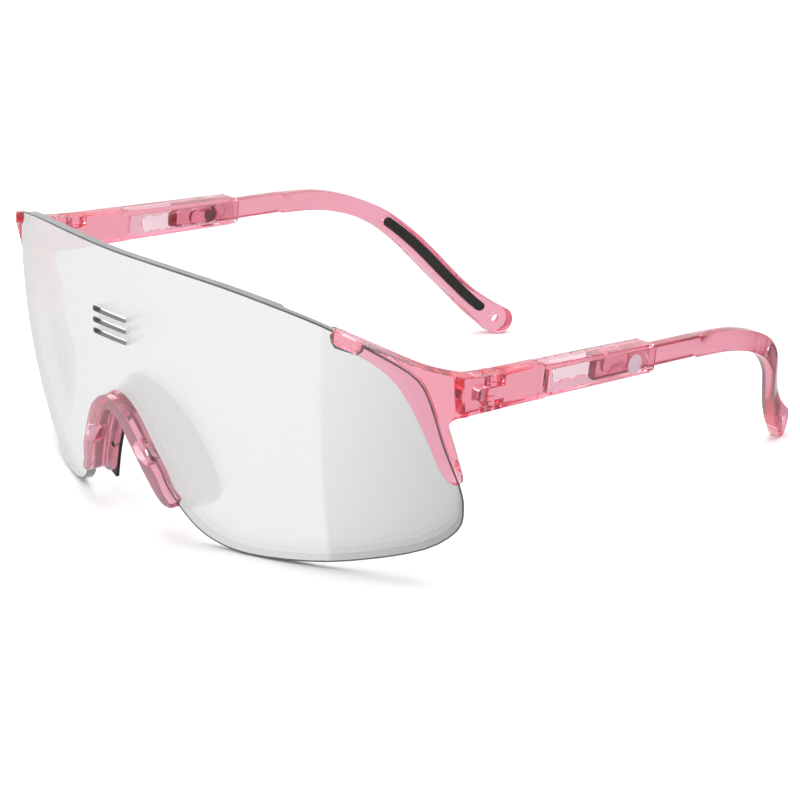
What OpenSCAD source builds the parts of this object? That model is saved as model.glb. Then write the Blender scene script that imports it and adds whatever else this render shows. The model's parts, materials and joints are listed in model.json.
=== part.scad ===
/* [Lens] */
// Radius of the lens across the face, at its foremost height
bow_r = 81.5; // [80:0.5:86]
// Radius of the lens down the face
rise_r = 160; // [140:5:200]
// Height of the foremost line of the lens above the temples
bow_z = 15; // [12:1:16]
// Distance from the bow, where it is as wide as the temples, back to the hinge joint
corner_back = 14.2; // [13.6:0.2:14.8]
// Thickness of the lens
lens_t = 2; // [1.6:0.1:2.2]
// Height of the top edge above the temples, at the middle
lens_top = 14; // [13:0.2:14.6]
// Depth of the bottom edge below the temples, under each eye
lens_bottom = 45.4; // [44:0.2:47]
// Half the width of the lens at its widest
lens_half_w = 64.2; // [63.8:0.1:64.6]
// Depth of the top of the nose notch below the temples
notch_top = 17.5; // [17:0.1:18]

/* [Vent slots] */
// Number of vent slots
vent_n = 3; // [1:1:4]
// Length of a vent slot, end to end
vent_l = 10.4; // [6:0.2:14]
// Height of a vent slot
vent_h = 1.2; // [0.8:0.1:1.6]
// Pitch of the vent slots
vent_pitch = 2.35; // [1.8:0.05:3]
// Height of the top vent slot above the temples
vent_z = 0.3; // [-2:0.1:3]

/* [Bracket] */
// Wall of the bracket in front of the lens
clasp_front_t = 1.2; // [0.8:0.1:1.6]
// Wall of the bracket behind the lens
clasp_back_t = 1.3; // [0.8:0.1:1.6]
// Gap between a lens face and the clasp
clasp_fit = 0.06; // [0.03:0.01:0.1]
// Gap between the edge of the lens and the bottom of its groove
edge_gap = 0.3; // [0.2:0.05:0.4]

/* [Hinge] */
// Distance from the widest place of the lens to the middle of a temple
temple_out = 0.4; // [0.2:0.1:0.6]
// Thickness of a temple at the hinge, side to side
temple_w = 4.8; // [4.6:0.1:5]
// Distance from the hinge joint forward to the hinge screw
pin_back = 4; // [3.6:0.1:4.4]
// Radius of the rounded hinge ears
ear_r = 4.65; // [4.4:0.05:4.9]
// Gap between the turning faces of the hinge
hinge_fit = 0.08; // [0.05:0.01:0.1]
// Thickness of the hinge tongue
tongue_t = 2.6; // [2.2:0.1:3]
// Depth of the middle of the tongue below the top of the temple
tongue_z = 3.7; // [3.5:0.1:3.9]
// Radius of the hinge screw
screw_r = 0.75; // [0.6:0.05:0.9]
// Radius of the head of the hinge screw
screw_head_r = 1.4; // [1.2:0.1:1.6]
// Thickness of the head of the hinge screw
screw_head_t = 1; // [0.8:0.1:1.2]

/* [Temple sleeve] */
// Height of the sleeve at the hinge
sleeve_h = 7.4; // [7:0.1:7.8]
// Length of the sleeve behind the hinge joint
sleeve_l = 47; // [46:0.5:50]
// Length of the solid block at the front of the sleeve
block_l = 12.6; // [11:0.2:13.4]
// Thickness of the sleeve behind the block
sleeve_w = 4.6; // [4.5:0.1:4.8]

/* [Length slide] */
// Thickness of the arm, side to side
arm_w = 3; // [2.8:0.1:3.1]
// Height of the arm inside the sleeve
arm_h = 4.6; // [4.2:0.1:4.8]
// Gap between the arm and the walls of the sleeve
slide_fit = 0.08; // [0.05:0.01:0.1]
// Number of length stops
stop_n = 5; // [4:1:5]
// Distance between two length stops
stop_pitch = 4.8; // [4.4:0.1:5]
// Distance from the last length stop to the end of the sleeve
stop_inset = 8.7; // [8.4:0.1:9.2]
// Radius of the round notches in the slide window
notch_r = 2.05; // [1.9:0.05:2.2]
// Height of the slide window between its notches
window_h = 3.3; // [3.2:0.1:3.6]
// Radius of the stud that rides in the slide window
stud_r = 1.55; // [1.4:0.05:1.58]

/* [Temple arm] */
// Distance from the hinge joint to the leash hole
hole_y = 124.4; // [122:0.2:127]
// Depth of the leash hole below the top of the temple
hole_z = 37.1; // [36:0.1:38]
// Distance that the leash hole lies inside the middle of a temple
hole_in = 18.8; // [17.4:0.2:20]
// Radius of the leash hole
hole_r = 1.4; // [1.2:0.1:1.6]
// Radius of the rounded end of the arm
tip_r = 3.5; // [3.3:0.1:3.7]
// Height of the middle of the arm, along the bend
bend_h = 4.3; // [4:0.1:4.6]
// Height of the rubber grip let into the arm
grip_h = 2.4; // [2:0.1:2.6]
// How far the rubber grip stands proud of the arm
grip_proud = 0.2; // [0.1:0.05:0.4]
// Depth of the groove for the rubber grip
grip_t = 1.1; // [0.8:0.1:1.3]

/* [Nose piece] */
// Wall of the nose bridge
bridge_t = 2.5; // [2.2:0.1:2.7]
// Depth of the nose bridge behind the front of the lens
bridge_l = 4; // [3.8:0.1:4.6]
// Width of the rim of the bridge in front of the lens
rim_w = 1.4; // [1.2:0.1:1.8]
// How far the bridge stands out in front of the lens
rim_t = 1.8; // [1.4:0.1:2.2]
// Width of the rim of the bridge behind the lens
rim_back_w = 1.5; // [1.3:0.1:1.9]
// Thickness of the rim behind the lens
rim_back_t = 1; // [0.9:0.1:1.2]
// Thickness of the flange that carries the nose pad
flange_t = 1.3; // [1.2:0.1:1.5]
// Width of the flange
flange_w = 1.7; // [1.5:0.1:1.8]
// Radius of the pegs of the nose pad
peg_r = 0.6; // [0.5:0.05:0.65]
// Thickness of the rubber nose pad
pad_t = 1.5; // [1.2:0.1:1.8]
// How far the nose pad reaches behind the bridge
pad_reach = 6.4; // [6:0.2:7]

/* [Side disc] */
// Radius of the plain disc on each sleeve
disc_r = 2.1; // [1.8:0.1:2.3]
// Depth of the seat of the disc
disc_t = 0.4; // [0.3:0.05:0.5]

/* [Hidden] */
$fn = 64;
eps = 0.01;

function spline_at(a, b, c, d, t) =
    0.5 * (2 * b + (c - a) * t + (2 * a - 5 * b + 4 * c - d) * t * t + (3 * b - a - 3 * c + d) * t * t * t);
// A smooth closed loop through its corner points
function loop(p, n) = [for (i = [0 : len(p) - 1], k = [0 : n - 1])
    spline_at(p[(i + len(p) - 1) % len(p)], p[i], p[(i + 1) % len(p)], p[(i + 2) % len(p)], k / n)];
// A smooth open curve through its points
function curve(p, n) = concat([for (i = [0 : len(p) - 2], k = [0 : n - 1])
    spline_at(p[max(i - 1, 0)], p[i], p[i + 1], p[min(i + 2, len(p) - 1)], k / n)], [p[len(p) - 1]]);
function unit(v) = v / norm(v);
// The normals of a curve, to its left
function side(p, i) = let (d = unit(p[min(i + 1, len(p) - 1)] - p[max(i - 1, 0)])) [-d[1], d[0]];
// A band along a curve; w lists the half width at its start, middle and end
function width_at(w, t) = t < 0.5 ? w[0] + (w[1] - w[0]) * 2 * t : w[1] + (w[2] - w[1]) * (2 * t - 1);
function edge(p, w, s) = [for (i = [0 : len(p) - 1]) p[i] + s * width_at(w, i / (len(p) - 1)) * side(p, i)];
function back(p) = [for (i = [len(p) - 1 : -1 : 0]) p[i]];
function flip(p) = [for (q = p) [-q[0], q[1]]];
// A band of even width with round ends
function round_end(c, v, r) = [for (a = [15 : 15 : 165]) c + r * [v[0] * cos(a) + v[1] * sin(a),
    v[1] * cos(a) - v[0] * sin(a)]];
function slot_band(p, r) = let (w = [r, r, r], n = len(p) - 1)
    back(concat(edge(p, w, 1), round_end(p[n], side(p, n), r),
        back(edge(p, w, -1)), round_end(p[0], -side(p, 0), r)));

// The lens is a bow turned about an upright axis
temple_x = lens_half_w + temple_out;
bow_y = sqrt(pow(bow_r, 2) - pow(temple_x, 2)) - corner_back;
lens_front = bow_r - bow_y;
bow_steps = 24;
function bow_at(z, d) = bow_r - rise_r + sqrt(pow(rise_r + d, 2) - pow(z - bow_z, 2));

// Solid inside the lens's front surface, moved outward by d
module dome(d, low, high, steps) {
    translate([0, bow_y, 0]) rotate_extrude($fn = 180)
        polygon(concat([[0, low]], [for (i = [0 : steps]) let (z = low + (high - low) * i / steps)
            [bow_at(z, d), z]], [[0, high]]));
}

// How far back the lens is at a place in the front view, moved outward by d
function lens_y(x, z, d) = bow_y - sqrt(pow(bow_at(z, d), 2) - x * x);

// Front view of the lens, right of the middle, from the top to the notch
split_x = 40;
lens_side = [[14, lens_top - 0.1], [28, lens_top - 1.1], [split_x, lens_top - 3.4], [48.6, lens_top - 6.2],
    [lens_half_w - 8.2, 3.8], [lens_half_w - 3.7, -0.2], [lens_half_w - 2, -6],
    [lens_half_w - 1, -14], [lens_half_w, -23], [lens_half_w - 0.3, -28.8],
    [lens_half_w - 1.9, 11.4 - lens_bottom], [lens_half_w - 6.6, 6.7 - lens_bottom],
    [49, 3.3 - lens_bottom], [split_x, 1.1 - lens_bottom], [28, -lens_bottom], [21.3, 1.2 - lens_bottom],
    [17.4, 3.6 - lens_bottom], [14.6, 7 - lens_bottom], [12.2, -notch_top - 16.8], [9.5, -notch_top - 11.4],
    [5.8, -notch_top - 4.3], [2.9, -notch_top - 1.1]];
lens_loop = loop(concat([[0, lens_top]], lens_side, [[0, -notch_top]], flip(back(lens_side))), 3);
lens_half = [for (i = [0 : 3 * len(lens_side) + 3]) lens_loop[i]];
// Its middle is cut straight back, and its ends are cut square to their own direction
lens_turn = 50;
middle_half = concat([for (p = lens_half) if (p[0] < split_x + eps && p[1] > -10) p],
    [[120, 90], [120, -124]],
    [for (p = lens_half) if (p[0] < split_x + eps && p[1] < -10) p]);
middle_outline = concat(middle_half, flip(back([for (p = middle_half) if (p[0] > eps) p])));
end_part = [for (p = lens_half) if (p[0] > split_x - eps)
    [p[0] * cos(lens_turn) + lens_y(p[0], p[1], 0) * sin(lens_turn), p[1]]];
end_n = len(end_part) - 1;
end_outline = concat(end_part, [end_part[end_n] - [100, 100], end_part[0] + [-100, 100]]);

// Notch in the top of the lens for the lug of the bracket, made smaller by d
function lug_outline(d) = [[8 + d, lens_top + 10], [8 + d, lens_top - 8.3 + d], [8.7 + d, lens_top - 9.2 + d],
    [12.6 - d, lens_top - 10 + d], [13.5 - d, lens_top - 9.2 + d], [13.7 - d, lens_top + 10]];

// What stands upright on a front view outline, from the nose to the hinge
module upright(low, deep) {
    translate([0, deep, 0]) rotate([90, 0, 0]) linear_extrude(deep - low) children();
}

// What stands on an outline seen from a direction turned by a
module turned(a) {
    rotate([0, 0, a]) upright(-100, 100) children();
}

module vent(i) {
    r = vent_h / 2;
    translate([0, 0, vent_z - i * vent_pitch]) rotate([90, 0, 0]) linear_extrude(lens_front + 10) {
        square([vent_l - vent_h, vent_h], center = true);
        for (s = [-1, 1]) translate([s * (vent_l / 2 - r), 0]) circle(r = r, $fn = 24);
    }
}

module lens() {
    color("gainsboro") placed() difference() {
        intersection() {
            dome(0, -lens_bottom - 1, lens_top + 1, bow_steps);
            upright(-100, 100) polygon(middle_outline);
            turned(lens_turn) polygon(end_outline);
            mirror([1, 0, 0]) turned(lens_turn) polygon(end_outline);
        }
        dome(-lens_t, -lens_bottom - 2, lens_top + 2, bow_steps + 2);
        for (i = [0 : vent_n - 1]) vent(i);
        turned(lens_turn) polygon(lug_outline(0));
        mirror([1, 0, 0]) turned(lens_turn) polygon(lug_outline(0));
    }
}

// The glasses stand on the lens and on the tips of the arms
lens_low_x = 28;
lens_low_y = bow_y - sqrt(pow(bow_at(-lens_bottom, -lens_t), 2) - pow(lens_low_x, 2));
tip_out = 0.3;
tip_low_y = hole_y + tip_out;
tip_low_z = -hole_z - tip_r - tip_out;
rest_tilt = atan2(lens_bottom + tip_low_z, tip_low_y - lens_low_y);
rest_h = lens_bottom * cos(rest_tilt) + lens_low_y * sin(rest_tilt);
mid_y = (hole_y + tip_out + tip_r - 0.8 - lens_front) / 2;
module placed() {
    translate([0, -mid_y, rest_h]) rotate([-rest_tilt, 0, 0]) children();
}

// Rounded rectangle about its centre
module soft_rect(w, h, r) {
    square([w - 2 * r, h], center = true);
    square([w, h - 2 * r], center = true);
    for (x = [-1, 1], y = [-1, 1]) translate([x * (w / 2 - r), y * (h / 2 - r)]) circle(r = r, $fn = 24);
}

pin_y = -pin_back;
far = 2 * lens_half_w;
// Sides of the temple
outer_x = temple_x + temple_w / 2;
inner_x = temple_x - temple_w / 2;

// Side view of the bracket, as distance back and height
lip = curve([[-31, 8.1], [-31.3, 7], [-30.5, 5.3], [-27.5, 3.7], [-24.2, 1.2], [-21.8, -1.6], [-19.6, -5.2],
    [-17.1, -9.9], [-13.3, -17.2], [-11.3, -20.6], [-9.6, -22.4], [-8.4, -22.8]], 3);
leg_back = curve([[-7.6, -22], [-7.9, -20.6], [-9.9, -16.3], [-12, -11.6], [-12.8, -9.4], [-11.6, -7.9],
    [-9, -sleeve_h]], 3);
brow = curve([[2, 0.06], [-3, 0.1], [-9, 0.5], [-13, 1], [-16.4, 1.6], [-20, 2.8], [-26.6, 6],
    [-31, 8.1]], 3);
// The same as seen square to the bracket
clasp_turn = 45;
function on_clasp(p) =
    let (x = min(outer_x, sqrt(pow(bow_at(p[1], clasp_front_t), 2) - pow(p[0] - bow_y, 2))))
    [x * cos(clasp_turn) + p[0] * sin(clasp_turn), p[1]];
clasp_outline = [for (p = concat(lip, leg_back, [[2, -sleeve_h]], brow)) on_clasp(p)];
block_front = -16;
block_side = concat([[block_front, -sleeve_h], [2, -sleeve_h]],
    [for (p = brow) if (p[0] > block_front && p[0] < 2 + eps) p], [[block_front, 1.5]]);

module hinge_plan() {
    translate([inner_x, pin_y - 11]) square([temple_w, 11]);
    intersection() {
        translate([temple_x, pin_y]) circle(r = ear_r);
        translate([inner_x, pin_y - eps]) square([temple_w, 10]);
    }
}

module bracket() {
    tongue_h = tongue_t + 2 * hinge_fit;
    difference() {
        intersection() {
            dome(clasp_front_t, -25, 12, 14);
            union() {
                difference() {
                    turned(clasp_turn) polygon(clasp_outline);
                    dome(-lens_t - clasp_back_t, -29.5, 15, 15);
                    translate([-far, pin_y - 3, -far]) cube(2 * far);
                    translate([outer_x, -far, -far]) cube(2 * far);
                    translate([split_x - 2 * far, -far, -far]) cube(2 * far);
                }
                intersection() {
                    translate([0, 0, -sleeve_h - 2]) linear_extrude(sleeve_h + 8) hinge_plan();
                    translate([split_x - 2, 0, 0]) rotate([90, 0, 90])
                    linear_extrude(far) polygon(block_side);
                }
            }
        }
        // Groove for the lens
        intersection() {
            difference() {
                dome(clasp_fit, -27, 13, 14);
                dome(-lens_t - clasp_fit, -28.2, 14, 15);
                turned(lens_turn) polygon(lug_outline(edge_gap));
            }
            turned(lens_turn) translate([edge_gap, edge_gap]) polygon(end_outline);
        }
        // Slot for the hinge tongue, the screw hole and the seat of its head
        translate([temple_x, pin_y, -tongue_z]) {
            translate([0, 0, -tongue_h / 2]) linear_extrude(tongue_h) {
                translate([-10, -temple_w / 2 - 0.6]) square([20, 20]);
            }
            translate([0, 0, -10]) cylinder(r = screw_r + hinge_fit / 2, h = 20, $fn = 32);
        }
        translate([temple_x, pin_y, -sleeve_h - 1])
            cylinder(r = screw_head_r + hinge_fit, h = 1 + screw_head_t + hinge_fit, $fn = 32);
    }
}

module hinge_screw() {
    translate([temple_x, pin_y, -sleeve_h]) {
        cylinder(r = screw_r, h = sleeve_h - 0.6, $fn = 32);
        difference() {
            cylinder(r = screw_head_r, h = screw_head_t, $fn = 32);
            translate([0, 0, -eps]) cube([0.4, 4, 0.8], center = true);
        }
    }
}

// Side view and plan of the sleeve
sleeve_drop = 0.8;
sleeve_side = [[-5, 0], [2, 0], [sleeve_l - 1.2, -sleeve_drop], [sleeve_l, -sleeve_drop - 1],
    [sleeve_l, 0.8 - sleeve_h], [sleeve_l - 1, 0.2 - sleeve_h], [-5, -sleeve_h]];
arm_z = -4;
last_stop = sleeve_l - stop_inset;
first_stop = last_stop - (stop_n - 1) * stop_pitch;
arm_front = last_stop - 2 * stop_pitch - 0.5;
travel = (stop_n - 2) * stop_pitch;
channel_front = arm_front - travel - 0.3;

module sleeve_body() {
    intersection() {
        rotate([90, 0, 90]) linear_extrude(100) polygon(sleeve_side);
        union() {
            translate([temple_x, sleeve_l, -sleeve_h / 2]) rotate([90, 0, 0])
                linear_extrude(sleeve_l) soft_rect(sleeve_w, sleeve_h, 0.9);
            translate([temple_x, block_l, -sleeve_h / 2]) rotate([90, 0, 0])
                linear_extrude(block_l - pin_y) soft_rect(temple_w, sleeve_h, 0.6);
        }
    }
}

module window() {
    for (i = [0 : stop_n - 1]) translate([first_stop + i * stop_pitch, arm_z]) circle(r = notch_r, $fn = 32);
    translate([first_stop, arm_z - window_h / 2]) square([last_stop - first_stop, window_h]);
}

module temple_sleeve() {
    difference() {
        union() {
            difference() {
                sleeve_body();
                translate([temple_x, pin_y, -sleeve_h - 1])
                    cylinder(r = ear_r + hinge_fit, h = sleeve_h + 2);
            }
            // Tongue between the ears
            translate([temple_x, pin_y, -tongue_z - tongue_t / 2]) {
                cylinder(r = temple_w / 2, h = tongue_t);
                translate([-temple_w / 2, 0, 0]) cube([temple_w, ear_r + 1, tongue_t]);
            }
        }
        translate([temple_x, pin_y, -sleeve_h - 1])
            cylinder(r = screw_r + hinge_fit / 2, h = sleeve_h + 2, $fn = 32);
        // Channel for the arm, open at the back, and the window on the inner side
        translate([temple_x, sleeve_l + 1, arm_z]) rotate([90, 0, 0])
            linear_extrude(sleeve_l + 1 - channel_front)
                square([arm_w + 2 * slide_fit, arm_h + 2 * slide_fit], center = true);
        translate([temple_x - temple_w, 0, 0]) rotate([90, 0, 90]) linear_extrude(temple_w) window();
        // Seat of the side disc
        translate([temple_x + sleeve_w / 2 - disc_t, last_stop + 2, arm_z - 0.4])
            rotate([90, 0, 90]) linear_extrude(2) {
                circle(r = disc_r + slide_fit);
                translate([0, -disc_r - slide_fit]) square([disc_r, 2 * (disc_r + slide_fit)]);
                translate([disc_r, 0]) circle(r = disc_r + slide_fit);
            }
    }
}

module side_disc() {
    translate([temple_x + sleeve_w / 2 - disc_t, last_stop + 2, arm_z - 0.4]) rotate([0, 90, 0])
        cylinder(r = disc_r, h = disc_t + 0.15);
}

// Side view of the arm behind the sleeve, as distance back and height
straight_end = sleeve_l + travel + 1;
hole_x = temple_x - hole_in;
arm_rise = curve([[straight_end, arm_z - 0.2], [74, -4.7], [83, -6.4], [89.5, -8.6], [95, -11.4],
    [100.4, -15.5], [105, -20], [109.6, -24.9], [114.6, -29.8], [119, -33.5],
    [hole_y + tip_out, -hole_z - tip_out]], 3);
// Plan of the arm behind the sleeve
arm_bend = curve([[temple_x, straight_end], [temple_x - 0.3, 74], [temple_x - 1.2, 83],
    [temple_x - 3.4, 92], [temple_x - 6.1, 99.4], [temple_x - 9, 104.6], [temple_x - 11.9, 109.4],
    [temple_x - 14.7, 114.6], [hole_x, hole_y], [hole_x - 1.8, hole_y + 5]], 3);
// Half the height of the arm along the bend, with a paddle at its end
function arm_half(t) = let (k = pow(max(0, (t - 0.72) / 0.28), 1.6))
    (arm_h + (bend_h - arm_h) * t) / 2 * (1 - k) + tip_r * k;
grip_start = 94;
grip_end = 120;

module arm_plan(half_w) {
    polygon(concat(edge(arm_bend, [half_w, half_w, half_w], 1),
        back(edge(arm_bend, [half_w, half_w, half_w], -1))));
}

module arm_side() {
    p = arm_rise;
    n = len(p) - 1;
    polygon(back(concat([for (i = [0 : n]) p[i] + arm_half(i / n) * side(p, i)],
        round_end(p[n], side(p, n), arm_half(1)),
        [for (i = [n : -1 : 0]) p[i] - arm_half(i / n) * side(p, i)])));
}

module grip_side(half_h) {
    n = len(arm_rise);
    q = [for (i = [0 : n - 1]) if (arm_rise[i][0] > grip_start && arm_rise[i][0] < grip_end) arm_rise[i]];
    polygon(slot_band(q, half_h));
}

// Inner face of the arm, from proud of it to deep inside it
module inner_skin(proud, deep) {
    a = edge(arm_bend, [for (i = [0 : 2]) arm_w / 2 + proud], 1);
    b = edge(arm_bend, [for (i = [0 : 2]) arm_w / 2 - deep], 1);
    polygon(concat(a, back(b)));
}

module temple_arm() {
    difference() {
        union() {
            translate([temple_x, straight_end + 0.1, arm_z]) rotate([90, 0, 0])
                linear_extrude(straight_end + 0.1 - arm_front) soft_rect(arm_w, arm_h, 0.5);
            intersection() {
                translate([0, 0, -60]) linear_extrude(70) arm_plan(arm_w / 2);
                rotate([90, 0, 90]) linear_extrude(100) arm_side();
            }
            // Studs that ride in the slide window
            translate([temple_x - sleeve_w / 2 - 0.1, 0, arm_z]) rotate([90, 0, 90])
                linear_extrude(sleeve_w / 2) {
                    for (i = [0, 1]) translate([last_stop - i * stop_pitch, 0]) circle(r = stud_r, $fn = 32);
                    translate([last_stop - stop_pitch, -1.2]) square([stop_pitch, 2.4]);
                }
        }
        leash_hole();
        intersection() {
            translate([0, 0, -60]) linear_extrude(70) inner_skin(1, grip_t);
            rotate([90, 0, 90]) linear_extrude(100) grip_side(grip_h / 2);
        }
    }
}

// The leash hole goes square through the arm
hole_side = side(arm_bend, len(arm_bend) - 4);
hole_turn = atan2(hole_side[1], hole_side[0]) - 180;
module leash_hole() {
    translate([hole_x, hole_y, -hole_z]) rotate([0, 90, hole_turn]) translate([0, 0, -8])
        cylinder(r = hole_r, h = 16, $fn = 32);
}

module ear_grip() {
    intersection() {
        translate([0, 0, -60]) linear_extrude(70) inner_skin(grip_proud, grip_t - 0.05);
        rotate([90, 0, 90]) linear_extrude(100) grip_side(grip_h / 2 - 0.05);
    }
}

// Front view of the nose bridge, along the notch of the lens
notch_half = [[2.9, -notch_top - 1.1], [5.8, -notch_top - 4.3], [9.5, -notch_top - 11.4],
    [12.2, -notch_top - 16.8], [14.2, -notch_top - 20.6]];
notch_line = curve(concat(flip(back(notch_half)), [[0, -notch_top]], notch_half), 4);

// Less deep inside the arch, so that the two sides don't meet, and rounded at the ends of the legs
arch_r = 3.1;
function inside(d, t) = min(d, arch_r + 6 * abs(t));
function rounded(t) = max(0.25, sqrt(1 - pow(max(0, (abs(t) - 0.82) / 0.18), 2)));

// A place along the notch, from -1 at one leg's end to 1 at the other's, moved outward by d
function along(p, t, d) = let (n = (len(p) - 1) / 2, f = n + n * max(-1, min(0.9999, t)), i = floor(f),
    u = unit(side(p, i) * (1 + i - f) + side(p, i + 1) * (f - i)))
    p[i] * (1 + i - f) + p[i + 1] * (f - i) + d * u;
function notch_at(t, d) = along(notch_line, t, d);
rim_end = 0.72;
peg_at = [0.42, 0.62];
function peg_place(t) = notch_at(t, -bridge_t - flange_w / 2);

module pegs(r, front, rear) {
    for (m = [-1, 1], t = peg_at) let (p = peg_place(m * t), y = lens_y(p[0], p[1], -bridge_l))
        translate([p[0], y + rear, p[1]]) rotate([90, 0, 0]) cylinder(r = r, h = rear - front, $fn = 24);
}

// The front rim is on the upper part of the notch only
function front_rim(t) = rim_w * max(0, min(1, (rim_end + 0.1 - abs(t)) / 0.1));

// Section of the bridge, as distance in front of the lens and distance outside the notch
function bridge_section(t) = let (
    wall = -inside(bridge_t, t) * rounded(t),
    tip = -inside(bridge_t + flange_w, t) * rounded(t),
    rear = -lens_t - clasp_fit, flange = flange_t - bridge_l)
    [[rim_t, front_rim(t)], [rim_t, wall], [flange, wall], [flange, tip], [-bridge_l, tip],
    [-bridge_l, -clasp_fit], [rear - rim_back_t, -clasp_fit], [rear - rim_back_t, rim_back_w],
    [rear, rim_back_w], [rear, -edge_gap], [clasp_fit, -edge_gap], [clasp_fit, front_rim(t)]];
bridge_cap = [[0, 1, 10], [0, 10, 11], [1, 2, 9], [1, 9, 10], [2, 3, 4], [2, 4, 5], [2, 5, 6], [2, 6, 9],
    [6, 7, 8], [6, 8, 9]];

module bridge_body() {
    last = len(notch_line) - 1;
    rings = [for (i = [0 : last]) let (t = 2 * i / last - 1, q = notch_line[i], v = side(notch_line, i))
        [for (c = bridge_section(t)) let (p = q + c[1] * v) [p[0], lens_y(p[0], p[1], c[0]), p[1]]]];
    polyhedron(points = [for (r = rings, p = r) p], faces = concat(bridge_cap,
        [for (i = [0 : last - 1], k = [0 : 11]) let (m = (k + 1) % 12)
            [i * 12 + m, i * 12 + k, (i + 1) * 12 + k]],
        [for (i = [0 : last - 1], k = [0 : 11]) let (m = (k + 1) % 12)
            [i * 12 + m, (i + 1) * 12 + k, (i + 1) * 12 + m]],
        [for (f = bridge_cap) [last * 12 + f[2], last * 12 + f[1], last * 12 + f[0]]]));
}

module nose_bridge() {
    color("hotpink") placed() difference() {
        bridge_body();
        // Clip windows and peg holes
        for (m = [-1, 1]) let (p = notch_at(m * 0.55, -1))
            translate([p[0], lens_y(p[0], p[1], -0.3), p[1]]) rotate([0, m * 26, 0])
                cube([5, 2.6, 3.2], center = true);
        pegs(peg_r + clasp_fit, -flange_t - 2, 4);
    }
}

// Section of the nose pad, as distance behind the bridge and distance outside the notch
pad_section = [[0.06, -0.3], [pad_reach * 0.3, pad_t + 0.4], [pad_reach * 0.75, pad_t + 2],
    [pad_reach, pad_t + 2.9],
    [pad_reach + 0.3, pad_t + 2.3], [pad_reach * 0.8, 1.7], [pad_reach * 0.35, -0.6],
    [1, -bridge_t - flange_w + 0.3], [0.06, -bridge_t - flange_w + 0.1]];
pad_steps = 20;
pad_half = concat([for (i = [0 : len(notch_half) - 2]) notch_half[i]],
    [notch_half[len(notch_half) - 1] + [0.3, -0.6]]);
pad_line = curve(concat(flip(back(pad_half)), [[0, -notch_top]], pad_half), 4);
// How far the pad reaches back along the leg, with a rounded lower end
function pad_grow(t) = (0.76 + 0.35 * pow(min(1, t / 0.5), 1.5))
    * (0.3 + 0.7 * sqrt(1 - pow(max(0, (t - 0.5) / 0.5), 2.4)));

module nose_pad() {
    n = len(pad_section);
    rings = [for (i = [-pad_steps : pad_steps])
        let (t = 0.998 * sin(90 * i / pad_steps), g = pad_grow(abs(t)))
        [for (q = pad_section) let (d = q[0] > 2 ? q[1] * (0.5 + 0.5 * g) : q[1],
            p = along(pad_line, t, max(d, -inside(-d, t))))
            [p[0], lens_y(p[0], p[1], -bridge_l) + (q[0] > 1.5 ? q[0] * g : q[0]), p[1]]]];
    color("#2b2929") placed() {
        polyhedron(points = [for (r = rings, p = r) p],
            faces = concat([[for (k = [n - 1 : -1 : 0]) k]],
                [for (i = [0 : 2 * pad_steps - 1], k = [0 : n - 1])
                    [i * n + k, i * n + (k + 1) % n, (i + 1) * n + (k + 1) % n, (i + 1) * n + k]],
                [[for (k = [0 : n - 1]) 2 * pad_steps * n + k]]));
        pegs(peg_r, 0.3 - flange_t, 0.8);
    }
}

module bracket_left() { color("palevioletred") placed() bracket(); }
module bracket_right() { color("palevioletred") placed() mirror([1, 0, 0]) bracket(); }
module hinge_screw_left() { color("silver") placed() hinge_screw(); }
module hinge_screw_right() { color("silver") placed() mirror([1, 0, 0]) hinge_screw(); }
module temple_sleeve_left() { color("pink") placed() temple_sleeve(); }
module temple_sleeve_right() { color("pink") placed() mirror([1, 0, 0]) temple_sleeve(); }
module temple_arm_left() { color("lightpink") placed() temple_arm(); }
module temple_arm_right() { color("lightpink") placed() mirror([1, 0, 0]) temple_arm(); }
module ear_grip_left() { color("#2b2929") placed() ear_grip(); }
module ear_grip_right() { color("#2b2929") placed() mirror([1, 0, 0]) ear_grip(); }
module side_disc_left() { color("hotpink") placed() side_disc(); }
module side_disc_right() { color("hotpink") placed() mirror([1, 0, 0]) side_disc(); }

lens();
nose_bridge();
nose_pad();
bracket_left();
bracket_right();
hinge_screw_left();
hinge_screw_right();
temple_sleeve_left();
temple_sleeve_right();
temple_arm_left();
temple_arm_right();
ear_grip_left();
ear_grip_right();
side_disc_left();
side_disc_right();
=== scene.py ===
import json
import math
import bpy
from mathutils import Matrix, Vector

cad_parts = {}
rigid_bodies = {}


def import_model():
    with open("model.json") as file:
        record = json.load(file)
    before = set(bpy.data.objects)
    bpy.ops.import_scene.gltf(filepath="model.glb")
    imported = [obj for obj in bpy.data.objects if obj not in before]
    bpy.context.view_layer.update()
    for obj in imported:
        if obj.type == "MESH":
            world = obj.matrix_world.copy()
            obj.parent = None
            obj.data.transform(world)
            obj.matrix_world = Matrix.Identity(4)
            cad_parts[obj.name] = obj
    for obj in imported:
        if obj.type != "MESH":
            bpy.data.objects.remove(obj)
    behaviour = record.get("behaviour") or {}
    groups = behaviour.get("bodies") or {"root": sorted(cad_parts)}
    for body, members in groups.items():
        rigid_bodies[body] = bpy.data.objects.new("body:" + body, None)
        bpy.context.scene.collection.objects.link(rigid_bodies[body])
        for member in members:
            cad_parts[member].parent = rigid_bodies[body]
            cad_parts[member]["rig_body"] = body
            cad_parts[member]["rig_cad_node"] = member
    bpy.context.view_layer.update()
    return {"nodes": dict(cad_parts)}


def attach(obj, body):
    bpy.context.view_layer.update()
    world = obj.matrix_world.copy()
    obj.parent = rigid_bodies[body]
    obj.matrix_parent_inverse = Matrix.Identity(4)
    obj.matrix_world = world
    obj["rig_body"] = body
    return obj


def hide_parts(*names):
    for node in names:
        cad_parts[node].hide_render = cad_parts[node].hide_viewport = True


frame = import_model()

SIDES = ("left", "right")

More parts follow.
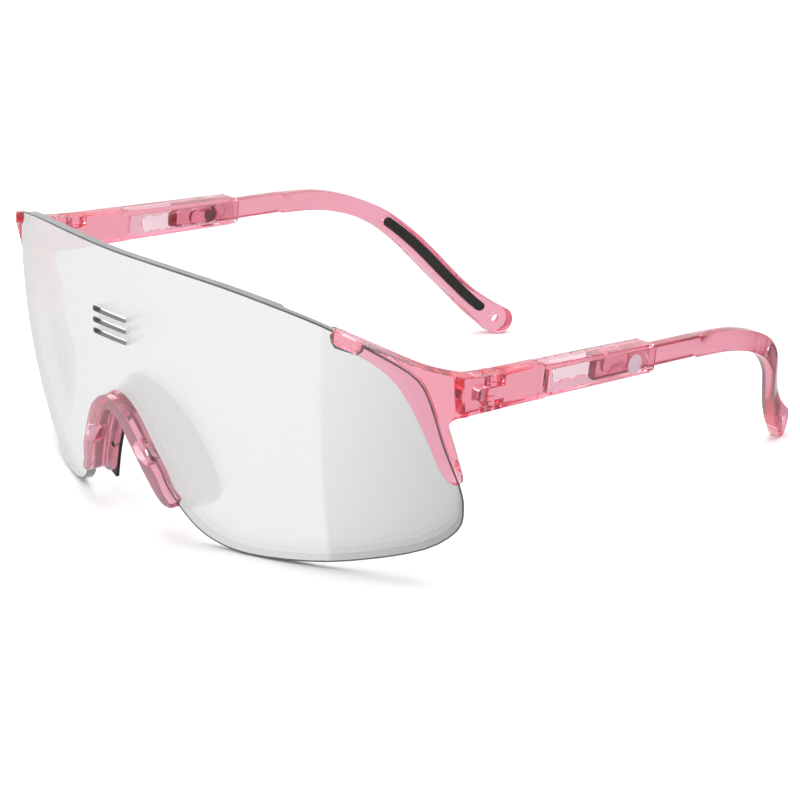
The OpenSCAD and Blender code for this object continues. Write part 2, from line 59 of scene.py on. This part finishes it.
# How the glasses stand: they lean forward on the lens by LEAN, and the hinge joint lies
# REST_H above the floor and MID_Y in front of the middle. Sizes with no other word are in mm.
LEAN = math.radians(1.711)
REST_H = 44.606
MID_Y = 40.695

# The bow of the lens, seen from the hinge joint: its radius from side to side and from top
# to bottom, the height of its foremost line, and its axis behind the hinges
BOW_R = 81.5
RISE_R = 160.0
BOW_Z = 15.0
HINGE_X = 64.6
CORNER_BACK = 14.2
BOW_Y = math.sqrt(BOW_R ** 2 - HINGE_X ** 2) - CORNER_BACK

# A face of the lens whose normal follows the bow this closely (a cosine) is a coated face
COATED = 0.985

# The dark line of painted shade round the lens's front, and the field of the three vents, in metres
SHADE_LINE_W = 0.0004
VENTS_HALF_W = 0.0065
VENTS_LOW = 0.037
VENTS_HIGH = 0.048

# Rounded edges, in metres
LENS_ROUND = 0.0003
SCREW_ROUND = 0.00008
TEMPLE_ROUND = 0.0004
GRIP_ROUND = 0.00015
DISC_ROUND = 0.00005

# Moulded pieces: the grain of their skin, in metres, and how often it is smoothed
SADDLE_GRAIN, SADDLE_ROUNDS = 0.00014, 8
BRACKET_GRAIN, BRACKET_ROUNDS = 0.00017, 26

# The share of its width that the saddle's lip keeps in front of the lens
LIP_KEPT = 0.5


# The camera

def placed(p):
    """A point given from the hinge joint, in mm, as it lies in the frame, in metres."""
    x, y, z = p
    c, s = math.cos(LEAN), math.sin(LEAN)
    return Vector((x, y * c + z * s - MID_Y, -y * s + z * c + REST_H)) / 1000


def make_camera():
    azimuth, elevation, roll = (math.radians(v) for v in (42.8, 17.9, 5.7))
    distance = 632.0
    target = Vector((0.0, 42.6, -32.4))
    back = Vector((math.sin(azimuth) * math.cos(elevation),
                   -math.cos(azimuth) * math.cos(elevation),
                   math.sin(elevation)))
    level = Vector((math.cos(azimuth), math.sin(azimuth), 0.0))
    upright = back.cross(level)
    right = level * math.cos(roll) + upright * math.sin(roll)
    up = upright * math.cos(roll) - level * math.sin(roll)
    lean = Matrix.Rotation(-LEAN, 3, "X")
    axes = Matrix([lean @ right, lean @ up, lean @ back]).transposed()
    data = bpy.data.cameras.new("camera")
    data.lens = 126.0
    data.sensor_width = 36.0
    data.clip_start = 0.01
    data.clip_end = 20.0
    camera = bpy.data.objects.new("camera", data)
    bpy.context.scene.collection.objects.link(camera)
    camera.matrix_world = Matrix.Translation(placed(target + back * distance)) @ axes.to_4x4()
    bpy.context.scene.camera = camera


make_camera()
bpy.context.scene.view_settings.view_transform = "Standard"

# Light goes many times to and fro inside clear plastic
bpy.context.scene.cycles.max_bounces = 24
bpy.context.scene.cycles.transmission_bounces = 24
bpy.context.scene.cycles.glossy_bounces = 16


# Materials

def new_material(name):
    mat = bpy.data.materials.new(name)
    mat.use_nodes = True
    nodes, links = mat.node_tree.nodes, mat.node_tree.links
    return mat, nodes, links, nodes["Principled BSDF"]


def mottle(nodes, links, scale, low, high, socket):
    """Fine noise on Object coordinates, brought to a range and led into a socket."""
    coord = nodes.new("ShaderNodeTexCoord")
    noise = nodes.new("ShaderNodeTexNoise")
    noise.inputs["Scale"].default_value = scale
    noise.inputs["Detail"].default_value = 4.0
    span = nodes.new("ShaderNodeMapRange")
    span.inputs["To Min"].default_value = low
    span.inputs["To Max"].default_value = high
    links.new(coord.outputs["Object"], noise.inputs["Vector"])
    links.new(noise.outputs["Fac"], span.inputs["Value"])
    links.new(span.outputs["Result"], socket)
    return noise


def two_tones(nodes, links, noise, dark, light, socket):
    """Two near colours that follow the noise, led into a socket."""
    ramp = nodes.new("ShaderNodeValToRGB")
    ramp.color_ramp.elements[0].color = (*dark, 1.0)
    ramp.color_ramp.elements[1].color = (*light, 1.0)
    links.new(noise.outputs["Fac"], ramp.inputs["Fac"])
    links.new(ramp.outputs["Color"], socket)


def fine_bump(nodes, links, bsdf, scale, strength, distance):
    coord = nodes.new("ShaderNodeTexCoord")
    noise = nodes.new("ShaderNodeTexNoise")
    noise.inputs["Scale"].default_value = scale
    bump = nodes.new("ShaderNodeBump")
    bump.inputs["Strength"].default_value = strength
    bump.inputs["Distance"].default_value = distance
    links.new(coord.outputs["Object"], noise.inputs["Vector"])
    links.new(noise.outputs["Fac"], bump.inputs["Height"])
    links.new(bump.outputs["Normal"], bsdf.inputs["Normal"])


def clear_plastic(name, colour, depth_colour, density, rough, clear):
    """Clear moulded plastic: light passes through, and long ways through it come out deeper."""
    mat, nodes, links, bsdf = new_material(name)
    bsdf.inputs["Transmission Weight"].default_value = clear
    bsdf.inputs["IOR"].default_value = 1.5
    noise = mottle(nodes, links, 900.0, rough * 0.8, rough * 1.2, bsdf.inputs["Roughness"])
    two_tones(nodes, links, noise, [0.98 * part for part in colour],
              [1.02 * part for part in colour], bsdf.inputs["Base Color"])
    depth = nodes.new("ShaderNodeVolumeAbsorption")
    depth.inputs["Color"].default_value = (*depth_colour, 1.0)
    depth.inputs["Density"].default_value = density
    links.new(depth.outputs["Volume"], nodes["Material Output"].inputs["Volume"])
    return mat


def make_mirror_lens():
    """Thin mirror coat on clear plastic: most light comes back, a little passes through."""
    mat, nodes, links, bsdf = new_material("mirror_lens")
    bsdf.inputs["Base Color"].default_value = (0.985, 0.985, 0.985, 1.0)
    bsdf.inputs["Metallic"].default_value = 0.70
    bsdf.inputs["Transmission Weight"].default_value = 1.0
    bsdf.inputs["IOR"].default_value = 1.58
    mottle(nodes, links, 60.0, 0.0, 0.004, bsdf.inputs["Roughness"])
    return mat


def make_lens_edge():
    """The cut edge of the lens, without the coat, ground and grey."""
    mat, nodes, links, bsdf = new_material("lens_edge")
    noise = mottle(nodes, links, 300.0, 0.25, 0.4, bsdf.inputs["Roughness"])
    two_tones(nodes, links, noise, (0.20, 0.20, 0.204), (0.30, 0.30, 0.306),
              bsdf.inputs["Base Color"])
    bsdf.inputs["Transmission Weight"].default_value = 0.1
    return mat


def make_painted_rim_shade():
    """The narrow line round the front face, dark grey: painted shade that stands in for the dark look
    of the lens's edge.
    """
    mat, nodes, links, bsdf = new_material("painted_rim_shade")
    noise = mottle(nodes, links, 300.0, 0.2, 0.3, bsdf.inputs["Roughness"])
    two_tones(nodes, links, noise, (0.08, 0.08, 0.082), (0.13, 0.13, 0.133),
              bsdf.inputs["Base Color"])
    bsdf.inputs["Specular IOR Level"].default_value = 0.3
    return mat


def make_disc():
    """Plain pearly inlay of the temple."""
    mat, nodes, links, bsdf = new_material("pearl_disc")
    bsdf.inputs["Transmission Weight"].default_value = 0.12
    noise = mottle(nodes, links, 900.0, 0.35, 0.5, bsdf.inputs["Roughness"])
    two_tones(nodes, links, noise, (0.70, 0.48, 0.57), (0.80, 0.58, 0.67),
              bsdf.inputs["Base Color"])
    return mat


def make_rubber():
    """Black rubber of the nose pad and the ear grips, with a fine dull grain."""
    mat, nodes, links, bsdf = new_material("black_rubber")
    noise = mottle(nodes, links, 700.0, 0.5, 0.62, bsdf.inputs["Roughness"])
    two_tones(nodes, links, noise, (0.016, 0.014, 0.014), (0.028, 0.025, 0.025),
              bsdf.inputs["Base Color"])
    bsdf.inputs["Specular IOR Level"].default_value = 0.35
    fine_bump(nodes, links, bsdf, 2600.0, 0.25, 0.0001)
    return mat


def make_steel():
    """Brushed steel of the hinge screws."""
    mat, nodes, links, bsdf = new_material("steel")
    bsdf.inputs["Metallic"].default_value = 1.0
    bsdf.inputs["Base Color"].default_value = (0.55, 0.54, 0.54, 1.0)
    mottle(nodes, links, 1500.0, 0.22, 0.34, bsdf.inputs["Roughness"])
    fine_bump(nodes, links, bsdf, 3000.0, 0.15, 0.00005)
    return mat


LENS = make_mirror_lens()
LENS_EDGE = make_lens_edge()
# Painted shade: a dark grey line round the lens's front that stands in for the dark look of its edge
PAINTED_RIM_SHADE = make_painted_rim_shade()
PINK_FRONT = clear_plastic("pink_front", (0.95, 0.75, 0.82), (0.96, 0.05, 0.23), 160.0, 0.03, 0.96)
PINK_SADDLE = clear_plastic("pink_saddle", (0.96, 0.66, 0.75), (0.97, 0.05, 0.22), 150.0, 0.03, 0.80)
PINK_SLEEVE = clear_plastic("pink_sleeve", (0.945, 0.80, 0.85), (0.95, 0.06, 0.25), 150.0, 0.04, 0.96)
PINK_ARM = clear_plastic("pink_arm", (0.94, 0.68, 0.76), (0.95, 0.07, 0.27), 170.0, 0.12, 0.92)
PINK_DISC = make_disc()
RUBBER = make_rubber()
STEEL = make_steel()


# The bow of the lens

def bow_at(p):
    """Outward direction of the lens's bow at a point of the frame, and how far the point
    lies in front of the bow, in metres."""
    c, s = math.cos(LEAN), math.sin(LEAN)
    x, y, z = (v * 1000 for v in p)
    y, z = y + MID_Y, z - REST_H
    y, z = y * c - z * s, y * s + z * c
    ring = math.hypot(x, y - BOW_Y)
    across = math.sqrt(RISE_R ** 2 - (z - BOW_Z) ** 2)
    nx, ny, nz = x / ring * across, (y - BOW_Y) / ring * across, z - BOW_Z
    out = Vector((nx, ny * c + nz * s, -ny * s + nz * c)).normalized()
    return out, (ring - BOW_R + RISE_R - across) / 1000


def bow_normal(p):
    return bow_at(p)[0]


def lean_out(face):
    """1 for a face that looks straight out of the lens's front, -1 for the back."""
    return face.normal.dot(bow_normal(face.center))


def by_vents(p, margin):
    """Whether a point lies in the field of the three vents, or within a margin of it."""
    return abs(p.x) < VENTS_HALF_W + margin and VENTS_LOW - margin < p.z < VENTS_HIGH + margin


# Work on one piece

def deselect():
    if bpy.context.object and bpy.context.object.mode != "OBJECT":
        bpy.ops.object.mode_set(mode="OBJECT")
    bpy.ops.object.select_all(action="DESELECT")


def take(piece):
    deselect()
    piece.select_set(True)
    bpy.context.view_layer.objects.active = piece


def apply(piece, kind, **settings):
    """Adds a modifier with its settings and applies it."""
    take(piece)
    mod = piece.modifiers.new(kind.lower(), kind)
    for key, value in settings.items():
        setattr(mod, key, value)
    bpy.ops.object.modifier_apply(modifier=mod.name)


def copy_of(node, name):
    """A loose copy of a CAD node, with its triangles merged into faces."""
    source = frame["nodes"][node]
    piece = source.copy()
    piece.data = source.data.copy()
    piece.name = name
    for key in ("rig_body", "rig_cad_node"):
        if key in piece:
            del piece[key]
    piece.parent = None
    bpy.context.scene.collection.objects.link(piece)
    take(piece)
    bpy.ops.object.mode_set(mode="EDIT")
    bpy.ops.mesh.select_all(action="SELECT")
    bpy.ops.mesh.customdata_custom_splitnormals_clear()
    bpy.ops.mesh.remove_doubles(threshold=2e-6)
    bpy.ops.mesh.dissolve_limited(angle_limit=math.radians(0.3))
    bpy.ops.object.mode_set(mode="OBJECT")
    return piece


def soften(piece, edge, segments):
    """Rounds the sharp edges."""
    if edge:
        apply(piece, "BEVEL", width=edge, segments=segments, limit_method="ANGLE",
              angle_limit=math.radians(35.0), use_clamp_overlap=True)
    take(piece)
    bpy.ops.object.shade_smooth_by_angle(angle=math.radians(30.0))


def skin_over(piece, grain, rounds):
    """Makes the piece one skin with every edge well rounded, as it comes from the mould."""
    apply(piece, "REMESH", mode="VOXEL", voxel_size=grain, use_smooth_shade=True)
    apply(piece, "SMOOTH", factor=0.5, iterations=rounds)


def body_of(node):
    """The body that carries a node: the front, or the sleeve or arm of its own side."""
    side = node.rsplit("_", 1)[-1]
    if node.startswith(("temple_sleeve", "side_disc")):
        return "sleeve_" + side
    if node.startswith(("temple_arm", "ear_grip")):
        return "arm_" + side
    return "front"


def finish_piece(piece, node, mat):
    piece.data.materials.clear()
    piece.data.materials.append(mat)
    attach(piece, body_of(node))
    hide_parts(node)


# The pieces

def dress(node, name, edge, mat, segments=2):
    """Dresses a CAD node with a copy that has rounded edges."""
    piece = copy_of(node, name)
    soften(piece, edge, segments)
    finish_piece(piece, node, mat)
    return piece


def mark_painted_rim_shade(lens):
    """Parts a narrow ring off the lens's front face along its border, for the dark line of painted
    shade, and gives its faces.
    The vents keep their sharp edges."""
    mesh = lens.data
    take(lens)
    bpy.context.tool_settings.mesh_select_mode = (False, False, True)
    bpy.ops.object.mode_set(mode="EDIT")
    bpy.ops.mesh.select_all(action="DESELECT")
    bpy.ops.object.mode_set(mode="OBJECT")
    for face in mesh.polygons:
        face.select = lean_out(face) > COATED and not any(
            by_vents(mesh.vertices[i].co, 0.0) for i in face.vertices)
    bpy.ops.object.mode_set(mode="EDIT")
    bpy.ops.mesh.inset(thickness=SHADE_LINE_W, depth=0.0)
    bpy.ops.object.mode_set(mode="OBJECT")
    return [face for face in mesh.polygons
            if not face.select and lean_out(face) > COATED and not by_vents(face.center, 0.005)]


def polish_lens(lens):
    """True normals on the two coated faces, a dark line of painted shade round the front one, the
    rest ground.
    """
    mesh = lens.data
    mesh.materials.append(LENS_EDGE)
    mesh.materials.append(PAINTED_RIM_SHADE)
    # The ring round the front takes the dark grey of painted shade
    for face in mark_painted_rim_shade(lens):
        face.material_index = 2
    normals = [n.vector.copy() for n in mesh.corner_normals]
    for face in mesh.polygons:
        lean = lean_out(face)
        if abs(lean) > COATED:
            for i in face.loop_indices:
                out = bow_normal(mesh.vertices[mesh.loops[i].vertex_index].co)
                normals[i] = out if lean > 0 else -out
        else:
            face.material_index = 1
    mesh.normals_split_custom_set(normals)


def slim_lip(saddle, lens):
    """Narrows the nose saddle's lip in front of the lens, which lies on the coated face.
    Points over the lens move towards the nearest point of the lip's corner beside it."""
    in_front = 0.00003
    hair = 0.00004
    bpy.context.view_layer.update()
    over, beside = [], []
    for vert in saddle.data.vertices:
        out, gap = bow_at(vert.co)
        if gap > in_front:
            away = vert.co - lens.closest_point_on_mesh(vert.co)[1]
            across = (away - out * away.dot(out)).length
            (over if across < hair else beside).append(vert)
    low = min(bow_at(v.co)[1] for v in beside)
    corner = [v.co.copy() for v in beside if bow_at(v.co)[1] < low + hair]
    for vert in over:
        edge = min(corner, key=lambda c: (c - vert.co).length)
        out = bow_normal(vert.co)
        reach = vert.co - edge
        reach -= out * reach.dot(out)
        vert.co -= reach * (1 - LIP_KEPT)


def make_saddle(lens):
    saddle = copy_of("nose_bridge", "nose_saddle")
    soften(saddle, 0.0, 1)
    slim_lip(saddle, lens)
    skin_over(saddle, SADDLE_GRAIN, SADDLE_ROUNDS)
    finish_piece(saddle, "nose_bridge", PINK_SADDLE)


def make_bracket(side):
    bracket = copy_of("bracket_" + side, "lens_bracket_" + side)
    soften(bracket, 0.0, 1)
    skin_over(bracket, BRACKET_GRAIN, BRACKET_ROUNDS)
    finish_piece(bracket, "bracket_" + side, PINK_FRONT)


shield = dress("lens", "shield_lens", LENS_ROUND, LENS, 1)
polish_lens(shield)
make_saddle(shield)
dress("nose_pad", "rubber_nose_pad", 0.0, RUBBER)
for side in SIDES:
    make_bracket(side)
    dress("hinge_screw_" + side, "steel_screw_" + side, SCREW_ROUND, STEEL)
    dress("temple_sleeve_" + side, "sleeve_" + side, TEMPLE_ROUND, PINK_SLEEVE, 3)
    dress("temple_arm_" + side, "arm_" + side, TEMPLE_ROUND, PINK_ARM, 3)
    dress("ear_grip_" + side, "rubber_grip_" + side, GRIP_ROUND, RUBBER)
    dress("side_disc_" + side, "plain_disc_" + side, DISC_ROUND, PINK_DISC)


# Floor and light

def ray_mix(nodes, links, kinds, plain_out, seen_out):
    """Shows seen_out to the named kinds of rays and plain_out to all others."""
    path = nodes.new("ShaderNodeLightPath")
    seen = path.outputs[kinds[0]]
    for kind in kinds[1:]:
        both = nodes.new("ShaderNodeMath")
        both.operation = "MAXIMUM"
        links.new(seen, both.inputs[0])
        links.new(path.outputs[kind], both.inputs[1])
        seen = both.outputs["Value"]
    mix = nodes.new("ShaderNodeMixShader")
    links.new(seen, mix.inputs["Fac"])
    links.new(plain_out, mix.inputs[1])
    links.new(seen_out, mix.inputs[2])
    return mix.outputs["Shader"]


def make_floor():
    """Matt and pale, so that it keeps the shadow; white through clear pieces, unseen in gloss."""
    deselect()
    bpy.ops.mesh.primitive_plane_add(size=1.1, location=(0.0, 0.0, -0.0002))
    floor = bpy.context.object
    floor.name = "floor"
    mat = bpy.data.materials.new("pale_floor")
    mat.use_nodes = True
    nodes, links = mat.node_tree.nodes, mat.node_tree.links
    nodes.clear()
    surface = nodes.new("ShaderNodeOutputMaterial")
    matt = nodes.new("ShaderNodeBsdfDiffuse")
    matt.inputs["Color"].default_value = (0.85, 0.85, 0.85, 1.0)
    white = nodes.new("ShaderNodeEmission")
    white.inputs["Color"].default_value = (1.0, 1.0, 1.0, 1.0)
    white.inputs["Strength"].default_value = 1.0
    open_air = nodes.new("ShaderNodeBsdfTransparent")
    unseen = ray_mix(nodes, links, ("Is Glossy Ray",), matt.outputs["BSDF"],
                     open_air.outputs["BSDF"])
    through = ray_mix(nodes, links, ("Is Transmission Ray",), unseen, white.outputs["Emission"])
    links.new(ray_mix(nodes, links, ("Is Camera Ray",), through, matt.outputs["BSDF"]),
              surface.inputs["Surface"])
    floor.data.materials.append(mat)


def brightness_along(nodes, links, coord, direction, low, high):
    """Brightness that runs from low to high along a direction of the room."""
    dot = nodes.new("ShaderNodeVectorMath")
    dot.operation = "DOT_PRODUCT"
    dot.inputs[1].default_value = direction
    span = nodes.new("ShaderNodeMapRange")
    span.inputs["From Min"].default_value = -1.0
    span.inputs["To Min"].default_value = low
    span.inputs["To Max"].default_value = high
    links.new(coord.outputs["Generated"], dot.inputs[0])
    links.new(dot.outputs["Value"], span.inputs["Value"])
    return span


def make_world():
    """White all round to the eye; in gloss a bright side and a grey side of the studio,
    which meet in a soft upright edge."""
    world = bpy.data.worlds.new("studio")
    bpy.context.scene.world = world
    world.use_nodes = True
    nodes, links = world.node_tree.nodes, world.node_tree.links
    nodes.clear()
    surface = nodes.new("ShaderNodeOutputWorld")
    white = nodes.new("ShaderNodeBackground")
    white.inputs["Color"].default_value = (1.0, 1.0, 1.0, 1.0)
    room = nodes.new("ShaderNodeBackground")
    room.inputs["Color"].default_value = (0.55, 0.55, 0.56, 1.0)
    coord = nodes.new("ShaderNodeTexCoord")
    bright = brightness_along(nodes, links, coord, (0.0, -1.0, 0.0), 0.765, 0.875)
    grey = brightness_along(nodes, links, coord, (-0.40, -0.91, 0.0), 0.03, 0.975)
    turn = math.radians(24)
    edge_half = 0.012
    edge = brightness_along(nodes, links, coord, (math.cos(turn), math.sin(turn), 0.0), 0.0, 1.0)
    edge.inputs["From Min"].default_value = -edge_half
    edge.inputs["From Max"].default_value = edge_half
    tone = nodes.new("ShaderNodeMix")
    tone.data_type = "FLOAT"
    links.new(edge.outputs["Result"], tone.inputs[0])
    links.new(bright.outputs["Result"], tone.inputs[2])
    links.new(grey.outputs["Result"], tone.inputs[3])
    sides = nodes.new("ShaderNodeBackground")
    sides.inputs["Color"].default_value = (1.0, 1.0, 1.0, 1.0)
    links.new(tone.outputs[0], sides.inputs["Strength"])
    unseen = ray_mix(nodes, links, ("Is Glossy Ray",), room.outputs["Background"],
                     sides.outputs["Background"])
    links.new(ray_mix(nodes, links, ("Is Camera Ray", "Is Transmission Ray"), unseen,
                      white.outputs["Background"]), surface.inputs["Surface"])


def soft_light(name, place, target, size, watts):
    data = bpy.data.lights.new(name, "AREA")
    data.shape = "RECTANGLE"
    data.size, data.size_y = size
    data.energy = watts
    lamp = bpy.data.objects.new(name, data)
    bpy.context.scene.collection.objects.link(lamp)
    lamp.location = place
    lamp.rotation_mode = "QUATERNION"
    lamp.rotation_quaternion = (Vector(target) - Vector(place)).to_track_quat("-Z", "Y")


make_floor()
make_world()
soft_light("top_light", (0.0, 0.0, 0.9), (0.0, 0.0, 0.0), (1.2, 1.2), 12.0)
soft_light("front_light", (-0.6, -0.9, 0.5), (0.0, 0.0, 0.03), (0.7, 0.9), 10.0)
